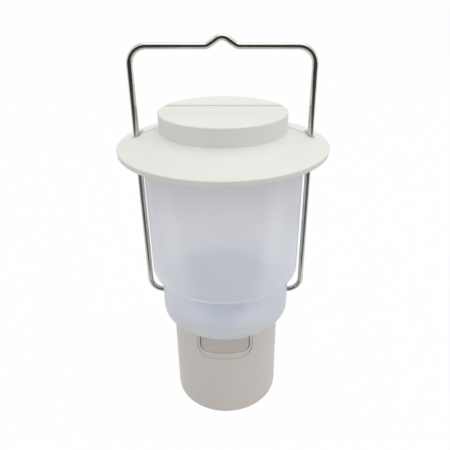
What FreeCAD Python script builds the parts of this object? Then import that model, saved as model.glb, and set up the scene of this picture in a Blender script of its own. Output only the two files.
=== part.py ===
import FreeCAD, Part
import math
import os
from types import SimpleNamespace

import Sketcher

# Camping lantern: hat-shaped top over a frosted shade, on a can-like base, with a wire bail.
# Millimetres. +Z up, the origin under the middle of the foot, the button at the front (-Y).

SIZES = (
    # Base housing and its bottom
    ("base_radius", "34.5"),
    ("base_wall", "2.2"),
    ("base_edge_round", "1.5"),
    ("foot_standoff", "0.8"),
    ("seat_height", "66.8"),
    ("spigot_inset", "1.9"),
    ("spigot_height", "13.7"),
    ("bulkhead_thickness", "2.4"),
    ("cover_top", "4.8"),
    ("cover_gap", "0.15"),
    ("pad_inset", "3.3"),
    ("pad_thickness", "1.8"),
    ("pad_gap", "0.15"),
    ("pad_edge", "0.6"),
    ("cover_boss_inset", "9.0"),
    ("cover_boss_radius", "3.4"),
    ("cover_boss_top", "18.0"),
    ("cover_web_width", "2.4"),
    ("deck_boss_inset", "8.6"),
    ("deck_boss_radius", "3.2"),
    ("deck_boss_height", "10.1"),
    # Screws
    ("screw_radius", "1.5"),
    ("screw_head_radius", "2.8"),
    ("screw_head_height", "1.6"),
    ("screw_hole_gap", "0.2"),
    ("screw_thread_gap", "0.02"),
    ("cover_screw_length", "12.0"),
    ("deck_screw_length", "13.0"),
    ("top_screw_length", "18.5"),
    ("screw_drive_radius", "0.9"),
    ("screw_drive_depth", "0.9"),
    ("board_screw_radius", "1.0"),
    ("board_screw_head_radius", "1.9"),
    ("board_screw_head_height", "1.2"),
    ("board_screw_length", "7.0"),
    # Battery
    ("cell_radius", "9.2"),
    ("cell_pitch", "19.2"),
    ("cell_setback", "2.0"),
    ("cell_link_thickness", "0.4"),
    ("cell_link_width", "8.0"),
    ("cell_tab_width", "6.0"),
    ("cell_tab_reach", "3.0"),
    ("cradle_floor", "2.0"),
    ("cradle_wall", "2.0"),
    ("cradle_bore_gap", "0.15"),
    ("cradle_shortfall", "12.4"),
    ("cradle_window_bottom", "20.0"),
    ("cradle_window_drop", "12.0"),
    ("cradle_window_width", "10.0"),
    ("pad_block_width", "34.0"),
    ("pad_block_depth", "12.0"),
    ("pad_block_height", "5.3"),
    # Boards
    ("board_thickness", "1.6"),
    ("board_rail_width", "2.0"),
    ("control_board_width", "26.0"),
    ("control_board_height", "38.0"),
    ("control_board_drop", "2.8"),
    ("charge_board_width", "20.0"),
    ("charge_board_height", "24.0"),
    ("switch_side", "6.2"),
    ("switch_depth", "3.5"),
    ("plunger_radius", "1.7"),
    ("plunger_length", "2.5"),
    ("plunger_reach", "1.5"),
    ("plunger_fit", "0.08"),
    ("lead_radius", "0.8"),
    ("lead_bend", "3.0"),
    ("led_lead_spread", "3.2"),
    ("led_lead_hole", "3.0"),
    ("battery_lead_spread", "16.0"),
    ("lead_standoff", "3.5"),
    # Power button
    ("button_height", "12.7"),
    ("button_drop", "1.4"),
    ("button_half_width", "15.2"),
    ("button_gap", "0.55"),
    ("button_corner", "3.2"),
    ("button_inset", "0.4"),
    ("button_thickness", "2.7"),
    ("button_scoop", "0.9"),
    ("button_flange_lip", "1.4"),
    ("button_flange_thickness", "1.8"),
    ("button_flange_gap", "0.3"),
    ("button_flange_headroom", "0.4"),
    ("button_stem_radius", "2.2"),
    ("button_stem_length", "4.2"),
    ("recess_drop", "19.2"),
    ("recess_half_width", "17.6"),
    ("recess_depth", "0.6"),
    ("recess_corner", "8.0"),
    # Charging port at the rear
    ("port_height", "30.0"),
    ("port_depth", "2.9"),
    ("port_block_half_width", "12.5"),
    ("port_block_half_height", "9.0"),
    ("port_block_depth", "6.5"),
    ("socket_width", "8.94"),
    ("socket_height", "3.26"),
    ("socket_depth", "7.4"),
    ("socket_wall", "0.3"),
    ("socket_sink", "0.4"),
    ("socket_gap", "0.2"),
    ("socket_tongue_width", "6.7"),
    ("socket_tongue_height", "0.7"),
    ("socket_back", "1.2"),
    ("flap_half_height", "5.2"),
    ("flap_left", "7.2"),
    ("flap_right", "7.6"),
    ("flap_gap", "0.3"),
    ("flap_inset", "0.2"),
    ("flap_hinge_offset", "9.0"),
    ("flap_barrel_radius", "1.3"),
    ("flap_web", "0.7"),
    ("flap_pin_radius", "0.6"),
    ("flap_pin_fit", "0.05"),
    ("flap_pin_grip", "2.0"),
    ("flap_grip_width", "3.0"),
    ("flap_grip_depth", "0.5"),
    # Frosted shade with its lower collar
    ("collar_step", "6.3"),
    ("collar_round", "5.0"),
    ("collar_fit", "0.2"),
    ("shade_wall", "2.0"),
    ("collar_height", "31.0"),
    ("shoulder_round", "3.4"),
    ("shoulder_crease", "0.8"),
    ("shoulder_step", "5.0"),
    ("shade_draft", "0.4"),
    ("shade_height", "110.4"),
    ("shade_lip_width", "5.0"),
    ("collar_seal_section", "0.55"),
    ("collar_seal_squeeze", "0.03"),
    ("collar_seal_height", "1.0"),
    # Light deck
    ("deck_gap", "0.3"),
    ("deck_tube_wall", "1.7"),
    ("deck_overhang", "3.4"),
    ("deck_thickness", "2.5"),
    ("led_board_inset", "4.0"),
    ("led_board_thickness", "1.2"),
    ("led_inset", "5.0"),
    ("led_side", "2.8"),
    ("led_height", "0.8"),
    ("led_cover_height", "4.5"),
    ("led_cover_wall", "1.5"),
    ("led_cover_round", "1.2"),
    # Hat: seal, reflector, brim and cap
    ("top_seal_thickness", "0.8"),
    ("top_seal_width", "3.2"),
    ("reflector_thickness", "1.8"),
    ("reflector_gap", "0.4"),
    ("reflector_sink", "2.4"),
    ("top_boss_circle", "24.0"),
    ("top_boss_radius", "4.2"),
    ("brim_radius", "60.0"),
    ("brim_lift", "2.3"),
    ("brim_edge", "3.1"),
    ("brim_edge_round", "0.7"),
    ("brim_foot_round", "0.6"),
    ("brim_lip_width", "3.2"),
    ("brim_wall", "2.6"),
    ("cap_radius", "36.15"),
    ("brim_edge_draft", "0.4"),
    ("brim_rise", "8.15"),
    ("cap_height", "10.25"),
    ("cap_wall", "2.2"),
    ("cap_edge_round", "0.8"),
    ("cap_groove_setback", "10.6"),
    ("cap_groove_width", "3.0"),
    ("cap_groove_depth", "0.9"),
    # Wire bail and its bushes
    ("wire_radius", "1.75"),
    ("bail_side_gap", "3.2"),
    ("pivot_rise", "11.2"),
    ("bail_foot_bend", "8.5"),
    ("bail_corner_bend", "9.5"),
    ("bail_headroom", "33.5"),
    ("bail_bump_half", "8.0"),
    ("bail_bump_rise", "5.4"),
    ("bail_bump_bend", "5.0"),
    ("bail_tip_inset", "0.2"),
    ("bush_radius", "3.0"),
    ("bush_length", "3.4"),
    ("bush_fit", "0.05"),
    ("bush_cover", "0.9"),
    ("bush_boss_wall", "1.8"),
    ("wire_hole_gap", "0.2"),
    ("brim_hole_side_gap", "0.9"),
    ("brim_hole_front_gap", "0.3"),
    ("brim_hole_rear", "12.3"),
    ("brim_line_setback", "3.0"),
    ("brim_line_width", "2.0"),
    ("brim_line_depth", "0.7"),
)

LED_COUNT = 12
SCREW_ANGLES = (90, 210, 330)
COVER_SCREW_ANGLES = (90, 235, 305)
OVERRUN = 2.0
TOUCH = 1e-4

doc = FreeCAD.newDocument("camping_lantern")
sheet = doc.addObject("Spreadsheet::Sheet", "sizes")
for row, (alias, text) in enumerate(SIZES, start=1):
    sheet.set(f"A{row}", alias)
    sheet.set(f"B{row}", text)
    sheet.setAlias(f"B{row}", alias)
doc.recompute()


class Size:
    """A length that is known both as a number and as an expression on the sheet."""

    def __init__(self, number, text):
        self.number = number
        self.text = text

    def __add__(self, other):
        other = as_size(other)
        return Size(self.number + other.number, f"({self.text} + {other.text})")

    def __sub__(self, other):
        other = as_size(other)
        return Size(self.number - other.number, f"({self.text} - {other.text})")

    def __mul__(self, other):
        other = as_size(other)
        return Size(self.number * other.number, f"({self.text} * {other.text})")

    def __truediv__(self, other):
        other = as_size(other)
        return Size(self.number / other.number, f"({self.text} / {other.text})")

    def __radd__(self, other):
        return as_size(other) + self

    def __rsub__(self, other):
        return as_size(other) - self

    def __rmul__(self, other):
        return as_size(other) * self

    def __neg__(self):
        return as_size(0) - self


def as_size(value):
    """A plain number is a size too."""
    if isinstance(value, Size):
        return value
    return Size(float(value), f"{value:.9g}")


d = SimpleNamespace(**{alias: Size(float(text), f"sizes.{alias}") for alias, text in SIZES})

# Heights and radii that follow from the ones on the sheet
d.spigot_radius = d.base_radius - d.spigot_inset
d.spigot_top = d.seat_height + d.spigot_height
d.pad_radius = d.base_radius - d.base_wall - d.pad_inset
d.cover_boss_circle = d.base_radius - d.cover_boss_inset
d.deck_boss_circle = d.spigot_radius - d.deck_boss_inset
d.port_floor = d.base_radius - d.port_depth
d.port_block_inner = d.base_radius - d.port_block_depth
d.button_top = d.seat_height - d.button_drop
d.button_bottom = d.button_top - d.button_height
d.recess_bottom = d.seat_height - d.recess_drop
d.control_board_top = d.seat_height - d.control_board_drop
d.control_board_bottom = d.control_board_top - d.control_board_height
d.collar_radius = d.base_radius + d.collar_step
d.shade_low_radius = d.collar_radius + d.shoulder_step
d.shade_high_radius = d.shade_low_radius + d.shade_draft
d.shoulder_height = d.seat_height + d.collar_height
d.shade_top = d.seat_height + d.shade_height
d.deck_radius = d.spigot_radius + d.deck_overhang
d.led_board_radius = d.deck_boss_circle - d.led_board_inset
d.led_circle = d.led_board_radius - d.led_inset
d.brim_height = d.shade_top + d.brim_lift
d.cap_seat = d.brim_height + d.brim_rise
d.cap_top = d.cap_seat + d.cap_height
d.bail_half_width = d.shade_high_radius + d.bail_side_gap
d.bail_bar_height = d.cap_top + d.bail_headroom
d.pivot_height = d.seat_height + d.pivot_rise

# Heights and radii that several pieces share
base_bore = d.base_radius - d.base_wall
spigot_bore = d.spigot_radius - d.base_wall
bulkhead_bottom = d.spigot_top - d.bulkhead_thickness
deck_boss_bottom = bulkhead_bottom - d.deck_boss_height
shade_floor = d.seat_height + d.shade_wall
shade_bore = d.spigot_radius + d.collar_fit
shade_lip_radius = d.shade_high_radius - d.shade_lip_width
shade_lip_bottom = d.shade_top - d.shade_wall
deck_top = d.spigot_top + d.deck_thickness
hat_seat = d.shade_top + d.top_seal_thickness
brim_deck_bottom = d.cap_seat - d.brim_wall
cell_bottom = d.cover_top + d.cradle_floor + d.cell_link_thickness
tab_top = bulkhead_bottom - d.pad_block_height
cell_top = tab_top - d.cell_link_thickness
cell_length = cell_top - cell_bottom
cradle_top = cell_top - d.cradle_shortfall
cradle_window_top = cradle_top - d.cradle_window_drop
button_face = d.base_radius - d.button_inset
button_back = button_face - d.button_thickness
button_middle = (d.button_bottom + d.button_top) / 2
plunger_tip = -(button_back - d.button_stem_length)
switch_front = plunger_tip + d.plunger_reach
control_front = switch_front + d.switch_depth
control_back = control_front + d.board_thickness
lead_plane = control_back + d.lead_standoff
socket_mouth = d.port_floor - d.socket_sink
charge_front = socket_mouth - d.socket_depth
charge_back = charge_front - d.board_thickness
cradle_half_width = d.cell_pitch / 2 + d.cell_radius + d.cradle_wall
cradle_front = d.cell_setback - d.cell_radius - d.cradle_wall
cradle_rear = d.cell_setback + d.cell_radius + d.cradle_wall

AXIS_TURNS = {
    "x": FreeCAD.Rotation(FreeCAD.Vector(0, 1, 0), 90),
    "y": FreeCAD.Rotation(FreeCAD.Vector(1, 0, 0), -90),
    "z": FreeCAD.Rotation(),
}

parts = []


def bind(obj, path, size):
    """Tie one property of an object to the sheet."""
    obj.setExpression(path, as_size(size).text)


def part(obj, label):
    """Name a finished piece and keep it for the export."""
    obj.Label = label
    parts.append(obj)
    return obj


def place(obj, spot, axis="z"):
    """Put a primitive at a spot, with its own axis turned to x, y or z."""
    spot = [as_size(value) for value in spot]
    base = FreeCAD.Vector(*[value.number for value in spot])
    obj.Placement = FreeCAD.Placement(base, AXIS_TURNS[axis])
    for letter, value in zip("xyz", spot):
        bind(obj, f"Placement.Base.{letter}", value)
    return obj


def cylinder(radius, height, spot, axis="z"):
    obj = doc.addObject("Part::Cylinder", "rod")
    bind(obj, "Radius", radius)
    bind(obj, "Height", height)
    return place(obj, spot, axis)


def box(low, high):
    """A block between two opposite corners."""
    obj = doc.addObject("Part::Box", "block")
    for side, start, end in zip(("Length", "Width", "Height"), low, high):
        bind(obj, side, as_size(end) - start)
    return place(obj, low)


def fused(*shapes):
    obj = doc.addObject("Part::MultiFuse", "fused")
    obj.Shapes = list(shapes)
    obj.Refine = True
    return obj


def cut(base, *tools):
    obj = doc.addObject("Part::Cut", "cut")
    obj.Base = base
    obj.Tool = tools[0] if len(tools) == 1 else fused(*tools)
    obj.Refine = True
    return obj


def common(*shapes):
    obj = doc.addObject("Part::MultiCommon", "common")
    obj.Shapes = list(shapes)
    obj.Refine = True
    return obj


def group(shapes):
    """Separate solids that share one node."""
    obj = doc.addObject("Part::Compound", "set")
    obj.Links = list(shapes)
    return obj


def tube(inner, outer, low, high):
    """An upright pipe between two radii and two heights."""
    shell = cylinder(outer, as_size(high) - low, (0, 0, low))
    bore = cylinder(inner, as_size(high) - low + 2 * OVERRUN, (0, 0, as_size(low) - OVERRUN))
    return cut(shell, bore)


def on_circle(radius, angle):
    """The x and y of a point on a circle about the lantern's axis."""
    turn = math.radians(angle)
    return radius * round(math.cos(turn), 9), radius * round(math.sin(turn), 9)


def attach(sketch, body, role):
    """Lay a sketch on one of its own body's origin planes."""
    for feature in body.Origin.OriginFeatures:
        if feature.Role == role:
            sketch.AttachmentSupport = [(feature, "")]
    sketch.MapMode = "FlatFace"


def pin(sketch, geometry, vertex, x, y):
    """Hold one sketch point at a place given by two sizes."""
    for kind, axis, size in (("DistanceX", -2, as_size(x)), ("DistanceY", -1, as_size(y))):
        if abs(size.number) < TOUCH:
            sketch.addConstraint(Sketcher.Constraint("PointOnObject", geometry, vertex, axis))
            continue
        ends = (-1, 1, geometry, vertex) if size.number > 0 else (geometry, vertex, -1, 1)
        index = sketch.addConstraint(Sketcher.Constraint(kind, *ends, abs(size.number)))
        signed = size if size.number > 0 else -size
        sketch.setExpression(f"Constraints[{index}]", signed.text)


def draw_outline(sketch, outline):
    """A closed outline of straight lines through the given corners."""
    corners = [FreeCAD.Vector(as_size(x).number, as_size(y).number, 0) for x, y in outline]
    count = len(corners)
    for index in range(count):
        sketch.addGeometry(Part.LineSegment(corners[index], corners[(index + 1) % count]))
    for index in range(count):
        sketch.addConstraint(Sketcher.Constraint("Coincident", index, 2, (index + 1) % count, 1))
    for index, (x, y) in enumerate(outline):
        pin(sketch, index, 1, x, y)


def round_off(body, feature, edges, radius):
    """A fillet on the edges that pass the test."""
    names = [f"Edge{index}" for index, edge in enumerate(feature.Shape.Edges, 1) if edges(edge)]
    fillet = body.newObject("PartDesign::Fillet", "round")
    fillet.Base = (feature, names)
    bind(fillet, "Radius", radius)
    body.Tip = fillet
    doc.recompute()
    return fillet


def ring_at(radius, height):
    """A test for the circle about the lantern's axis at a radius and a height."""
    radius = as_size(radius).number
    height = as_size(height).number

    def matches(edge):
        curve = edge.Curve
        if not isinstance(curve, Part.Circle):
            return False
        return abs(curve.Radius - radius) < TOUCH and abs(curve.Center.z - height) < TOUCH

    return matches


def revolved(name, outline, rounds=()):
    """A body turned about the lantern's axis from (radius, height) corners."""
    body = doc.addObject("PartDesign::Body", name)
    sketch = body.newObject("Sketcher::SketchObject", f"{name}_outline")
    attach(sketch, body, "XZ_Plane")
    draw_outline(sketch, outline)
    feature = body.newObject("PartDesign::Revolution", f"{name}_turn")
    feature.Profile = sketch
    feature.ReferenceAxis = (sketch, ["V_Axis"])
    feature.Angle = 360
    body.Tip = feature
    doc.recompute()
    for corner, radius in rounds:
        feature = round_off(body, feature, ring_at(*corner), radius)
    return body


def front_plate(name, half_width, low, high, near, far, corner=None):
    """A plate seen from the front, from y = near back to y = far, with round lower corners."""
    body = doc.addObject("PartDesign::Body", name)
    sketch = body.newObject("Sketcher::SketchObject", f"{name}_outline")
    attach(sketch, body, "XZ_Plane")
    bind(sketch, "AttachmentOffset.Base.z", -as_size(far))
    corners = ((-half_width, low), (half_width, low), (half_width, high), (-half_width, high))
    draw_outline(sketch, corners)
    pad = body.newObject("PartDesign::Pad", f"{name}_pad")
    pad.Profile = sketch
    bind(pad, "Length", as_size(far) - near)
    body.Tip = pad
    doc.recompute()
    if corner is not None:
        floor = as_size(low).number

        def lower_side(edge):
            low_box = edge.BoundBox
            deep = low_box.YLength > TOUCH
            return deep and abs(low_box.ZMax - floor) < TOUCH

        round_off(body, pad, lower_side, corner)
    return body


def stadium(half_length, radius, depth, spot, axis):
    """A slot-shaped prism: two round ends and the block between them."""
    x, y, z = [as_size(value) for value in spot]
    if axis == "z":
        ends = ((x, y - half_length, z), (x, y + half_length, z))
        low = (x - radius, y - half_length, z)
        high = (x + radius, y + half_length, z + depth)
    else:
        ends = ((x - half_length, y, z), (x + half_length, y, z))
        low = (x - half_length, y, z - radius)
        high = (x + half_length, y + depth, z + radius)
    rods = [cylinder(radius, depth, end, axis) for end in ends]
    return fused(box(low, high), *rods)


def upright_screw(length, spot, head_up):
    """A pan-head screw whose head rests on a face at the spot's height."""
    x, y, z = spot
    shank_base = z - length if head_up else z
    head_base = z if head_up else z - d.screw_head_height
    drive_base = z + d.screw_head_height - d.screw_drive_depth if head_up else head_base - OVERRUN
    shank = cylinder(d.screw_radius, length, (x, y, shank_base))
    head = cylinder(d.screw_head_radius, d.screw_head_height, (x, y, head_base))
    drive = cylinder(d.screw_drive_radius, d.screw_drive_depth + OVERRUN, (x, y, drive_base))
    return cut(fused(shank, head), drive)


def pilot(circle, angle, low, high, gap):
    """A screw hole on a circle of screws."""
    x, y = on_circle(circle, angle)
    return cylinder(d.screw_radius + gap, as_size(high) - low, (x, y, low))


# Base housing: one moulded can, closed above by a bulkhead, with a spigot for the shade


def base_housing():
    inner_step = d.seat_height - d.base_wall
    can = revolved(
        "housing_can",
        (
            (base_bore, d.foot_standoff),
            (d.base_radius, d.foot_standoff),
            (d.base_radius, d.seat_height),
            (d.spigot_radius, d.seat_height),
            (d.spigot_radius, d.spigot_top),
            (0, d.spigot_top),
            (0, bulkhead_bottom),
            (spigot_bore, bulkhead_bottom),
            (spigot_bore, inner_step),
            (base_bore, inner_step),
        ),
        rounds=(((d.base_radius, d.foot_standoff), d.base_edge_round),),
    )
    added = [can]
    removed = []
    for angle in COVER_SCREW_ANGLES:
        x, y = on_circle(d.cover_boss_circle, angle)
        boss_height = d.cover_boss_top - d.cover_top
        added.append(cylinder(d.cover_boss_radius, boss_height, (x, y, d.cover_top)))
        added.append(cover_web(angle))
        screw_end = d.cover_top + d.cover_screw_length
        removed.append(pilot(d.cover_boss_circle, angle, d.cover_top - OVERRUN, screw_end, d.screw_thread_gap))
    for angle in SCREW_ANGLES:
        x, y = on_circle(d.deck_boss_circle, angle)
        reach = bulkhead_bottom + d.bulkhead_thickness / 2 - deck_boss_bottom
        added.append(cylinder(d.deck_boss_radius, reach, (x, y, deck_boss_bottom)))
        screw_low = deck_top - d.deck_screw_length - d.screw_thread_gap
        removed.append(pilot(d.deck_boss_circle, angle, screw_low, deck_top, d.screw_thread_gap))
    port_low = d.port_height - d.port_block_half_height
    port_high = d.port_height + d.port_block_half_height
    block = box(
        (-d.port_block_half_width, d.port_block_inner, port_low),
        (d.port_block_half_width, d.base_radius, port_high),
    )
    added.append(common(block, cylinder(base_bore + d.base_wall / 2, port_high, (0, 0, 0))))
    lead_low = bulkhead_bottom - OVERRUN
    removed.append(cylinder(d.led_lead_hole, d.spigot_top + OVERRUN - lead_low, (0, lead_plane, lead_low)))
    return part(cut(fused(*added), *removed, *button_cuts(), *port_cuts(), seal_groove()), "base_housing")


def cover_web(angle):
    """The rib between a cover screw's boss and the wall."""
    turn = math.radians(angle)
    across = -d.cover_web_width / 2
    reach = base_bore + d.base_wall / 2 - d.cover_boss_circle
    web = box((0, 0, d.cover_top), (reach, d.cover_web_width, d.cover_boss_top))
    web.Placement.Rotation = FreeCAD.Rotation(FreeCAD.Vector(0, 0, 1), angle)
    bind(web, "Placement.Base.x", d.cover_boss_circle * math.cos(turn) - across * math.sin(turn))
    bind(web, "Placement.Base.y", d.cover_boss_circle * math.sin(turn) + across * math.cos(turn))
    return web


def button_cuts():
    """The window for the button and the shallow dish around it."""
    outside = -(d.base_radius + OVERRUN)
    window = front_plate(
        "button_window",
        d.button_half_width + d.button_gap,
        d.button_bottom - d.button_gap,
        d.button_top + d.button_gap,
        outside,
        -(d.base_radius - d.base_wall) * 0.8,
        d.button_corner + d.button_gap,
    )
    dish = front_plate(
        "button_dish",
        d.recess_half_width,
        d.recess_bottom,
        d.seat_height + d.collar_fit,
        outside,
        0,
        d.recess_corner,
    )
    skin = tube(d.base_radius - d.recess_depth, d.base_radius + OVERRUN, d.recess_bottom - OVERRUN, d.seat_height)
    return window, common(dish, skin)


def port_cuts():
    """The flap's pocket, its hinge groove and the hole for the socket."""
    outer = d.base_radius + OVERRUN
    low = d.port_height - d.flap_half_height - d.flap_gap
    high = d.port_height + d.flap_half_height + d.flap_gap
    pocket = box((-d.flap_hinge_offset, d.port_floor, low), (d.flap_right + d.flap_gap, outer, high))
    groove_radius = d.flap_barrel_radius + d.flap_gap
    hinge_y = d.port_floor + d.flap_gap
    groove = cylinder(groove_radius, high - low, (-d.flap_hinge_offset, hinge_y, low))
    mouth = box(
        (-d.flap_hinge_offset - groove_radius, hinge_y, low),
        (-d.flap_hinge_offset, outer, high),
    )
    pin_low = d.port_height - d.flap_half_height - d.flap_pin_grip
    pin_hole = cylinder(
        d.flap_pin_radius, 2 * (d.flap_half_height + d.flap_pin_grip), (-d.flap_hinge_offset, hinge_y, pin_low)
    )
    socket_radius = d.socket_height / 2 + d.socket_gap
    socket_hole = stadium(
        (d.socket_width - d.socket_height) / 2,
        socket_radius,
        d.port_floor - d.port_block_inner + 2 * OVERRUN,
        (0, d.port_block_inner - OVERRUN, d.port_height),
        "y",
    )
    return pocket, groove, mouth, pin_hole, socket_hole


def seal_groove():
    """The groove round the spigot that holds the collar's seal."""
    floor = shade_bore - 2 * d.collar_seal_section
    low = d.seat_height + d.collar_seal_height - d.collar_seal_section
    return tube(floor, d.spigot_radius + OVERRUN, low, low + 2 * d.collar_seal_section)


# Bottom cover, its screws and the rubber foot that hides them


def base_cover():
    plate = revolved(
        "cover_plate",
        (
            (0, d.pad_thickness),
            (d.pad_radius + d.pad_gap, d.pad_thickness),
            (d.pad_radius + d.pad_gap, d.foot_standoff),
            (base_bore - d.cover_gap, d.foot_standoff),
            (base_bore - d.cover_gap, d.cover_top),
            (0, d.cover_top),
        ),
    )
    holes = []
    for angle in COVER_SCREW_ANGLES:
        holes.append(pilot(d.cover_boss_circle, angle, 0, d.cover_top + OVERRUN, d.screw_hole_gap))
        x, y = on_circle(d.cover_boss_circle, angle)
        sink = d.pad_thickness + d.screw_head_height
        holes.append(cylinder(d.screw_head_radius + d.screw_hole_gap, sink, (x, y, 0)))
    return part(cut(plate, *holes), "base_cover")


def cover_screws():
    seat = d.pad_thickness + d.screw_head_height
    screws = []
    for angle in COVER_SCREW_ANGLES:
        x, y = on_circle(d.cover_boss_circle, angle)
        screws.append(upright_screw(d.cover_screw_length, (x, y, seat), head_up=False))
    return part(group(screws), "cover_screws")


def foot_pad():
    disc = revolved(
        "foot_disc",
        (
            (0, 0),
            (d.pad_radius - d.pad_edge, 0),
            (d.pad_radius, d.pad_edge),
            (d.pad_radius, d.pad_thickness),
            (0, d.pad_thickness),
        ),
    )
    return part(disc, "foot_pad")


# Battery: two cells in a cradle, joined at the bottom, with a tab on each top


def cell_spots():
    return ((-d.cell_pitch / 2, d.cell_setback), (d.cell_pitch / 2, d.cell_setback))


def battery_cells():
    cells = [cylinder(d.cell_radius, cell_length, (x, y, cell_bottom)) for x, y in cell_spots()]
    return part(group(cells), "battery_cells")


def battery_cradle():
    block = box((-cradle_half_width, cradle_front, d.cover_top), (cradle_half_width, cradle_rear, cradle_top))
    control_rail = d.control_board_width / 2
    charge_rail = d.charge_board_width / 2
    charge_low = d.port_height - d.charge_board_height / 2
    charge_high = d.port_height + d.charge_board_height / 2
    rails = []
    for side in (-1, 1):
        inner, outer = sorted(
            (side * (control_rail - d.board_rail_width * 2), side * control_rail), key=lambda size: size.number
        )
        rails.append(box((inner, control_back, d.control_board_bottom), (outer, cradle_front, cradle_top)))
        inner, outer = sorted(
            (side * (charge_rail - d.board_rail_width * 2), side * charge_rail), key=lambda size: size.number
        )
        rails.append(box((inner, cradle_rear, charge_low), (outer, charge_back, charge_high)))
    floor = d.cover_top + d.cradle_floor
    bores = []
    for x, y in cell_spots():
        bores.append(
            cylinder(d.cell_radius + d.cradle_bore_gap, cradle_top + OVERRUN - floor, (x, y, floor))
        )
    link_half = d.cell_link_width / 2
    channel = box(
        (-d.cell_pitch / 2, d.cell_setback - link_half, floor),
        (d.cell_pitch / 2, d.cell_setback + link_half, cell_bottom),
    )
    windows = []
    for x, y in cell_spots():
        windows.append(
            box(
                (x - d.cradle_window_width / 2, cradle_front - OVERRUN, d.cradle_window_bottom),
                (x + d.cradle_window_width / 2, cradle_rear + OVERRUN, cradle_window_top),
            )
        )
    holes = [cylinder(d.board_screw_radius, length, spot, "y") for spot, length in board_screw_holes()]
    carved = cut(fused(block, *rails), *bores, channel, *windows, *holes)
    return part(carved, "battery_cradle")


def cell_link():
    half = d.cell_link_width / 2
    low = (-d.cell_pitch / 2, d.cell_setback - half, d.cover_top + d.cradle_floor)
    high = (d.cell_pitch / 2, d.cell_setback + half, cell_bottom)
    return part(box(low, high), "cell_link")


def cell_tabs():
    front = d.cell_setback - d.cell_radius - d.cell_tab_reach
    tabs = []
    for x, y in cell_spots():
        low = (x - d.cell_tab_width / 2, front, cell_top)
        high = (x + d.cell_tab_width / 2, y + d.cell_tab_width / 2, tab_top)
        tabs.append(box(low, high))
    return part(group(tabs), "cell_tabs")


def battery_pad():
    half = d.pad_block_width / 2
    low = (-half, d.cell_setback - d.pad_block_depth / 2, tab_top)
    high = (half, d.cell_setback + d.pad_block_depth / 2, bulkhead_bottom)
    return part(box(low, high), "battery_pad")


# Boards, switch and socket


def board_screw_spots():
    """The two screws of the control board and the two of the charge board."""
    control_x = d.control_board_width / 2 - d.board_rail_width
    charge_x = d.charge_board_width / 2 - d.board_rail_width
    control_z = d.control_board_bottom + 2 * d.board_rail_width
    charge_z = d.port_height - d.charge_board_height / 2 + 2 * d.board_rail_width
    control = [(side * control_x, control_front, control_z) for side in (-1, 1)]
    charge = [(side * charge_x, charge_front, charge_z) for side in (-1, 1)]
    return control, charge


def board_screw_holes():
    control, charge = board_screw_spots()
    holes = []
    for spot in control:
        holes.append((spot, d.board_screw_length))
    for x, y, z in charge:
        holes.append(((x, y - d.board_screw_length, z), d.board_screw_length))
    return holes


def board_screws():
    control, charge = board_screw_spots()
    screws = []
    head = d.board_screw_head_height
    for x, y, z in control:
        shank = cylinder(d.board_screw_radius, d.board_screw_length, (x, y, z), "y")
        cap = cylinder(d.board_screw_head_radius, head, (x, y - head, z), "y")
        screws.append(fused(shank, cap))
    for x, y, z in charge:
        shank = cylinder(d.board_screw_radius, d.board_screw_length, (x, y - d.board_screw_length, z), "y")
        cap = cylinder(d.board_screw_head_radius, head, (x, y, z), "y")
        screws.append(fused(shank, cap))
    return part(group(screws), "board_screws")


def control_board():
    half = d.control_board_width / 2
    board = box((-half, control_front, d.control_board_bottom), (half, control_back, d.control_board_top))
    holes = [cylinder(d.board_screw_radius, d.board_screw_length, spot, "y") for spot in board_screw_spots()[0]]
    return part(cut(board, *holes), "control_board")


def tact_switch():
    half = d.switch_side / 2
    case = box((-half, switch_front, button_middle - half), (half, control_front, button_middle + half))
    depth = d.plunger_length + d.plunger_fit
    bore_radius = d.plunger_radius + d.plunger_fit
    bore = cylinder(bore_radius, depth + OVERRUN, (0, switch_front - OVERRUN, button_middle), "y")
    return part(cut(case, bore), "tact_switch")


def switch_plunger():
    plunger = cylinder(d.plunger_radius, d.plunger_length, (0, plunger_tip, button_middle), "y")
    return part(plunger, "switch_plunger")


def charge_board():
    half = d.charge_board_width / 2
    low = d.port_height - d.charge_board_height / 2
    board = box((-half, charge_back, low), (half, charge_front, low + d.charge_board_height))
    holes = []
    for x, y, z in board_screw_spots()[1]:
        holes.append(cylinder(d.board_screw_radius, d.board_screw_length, (x, y - d.board_screw_length, z), "y"))
    return part(cut(board, *holes), "charge_board")


def charge_socket():
    reach = (d.socket_width - d.socket_height) / 2
    radius = d.socket_height / 2
    shell = stadium(reach, radius, d.socket_depth, (0, charge_front, d.port_height), "y")
    cavity_start = charge_front + d.socket_back
    cavity = stadium(
        reach, radius - d.socket_wall, d.socket_depth, (0, cavity_start, d.port_height), "y"
    )
    tongue = box(
        (-d.socket_tongue_width / 2, charge_front, d.port_height - d.socket_tongue_height / 2),
        (d.socket_tongue_width / 2, socket_mouth - d.socket_sink, d.port_height + d.socket_tongue_height / 2),
    )
    return part(fused(cut(shell, cavity), tongue), "charge_socket")


# Port flap on its pin


def flap_pin():
    hinge_y = d.port_floor + d.flap_gap
    low = d.port_height - d.flap_half_height - d.flap_pin_grip
    length = 2 * (d.flap_half_height + d.flap_pin_grip)
    return part(cylinder(d.flap_pin_radius, length, (-d.flap_hinge_offset, hinge_y, low)), "flap_pin")


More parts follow.
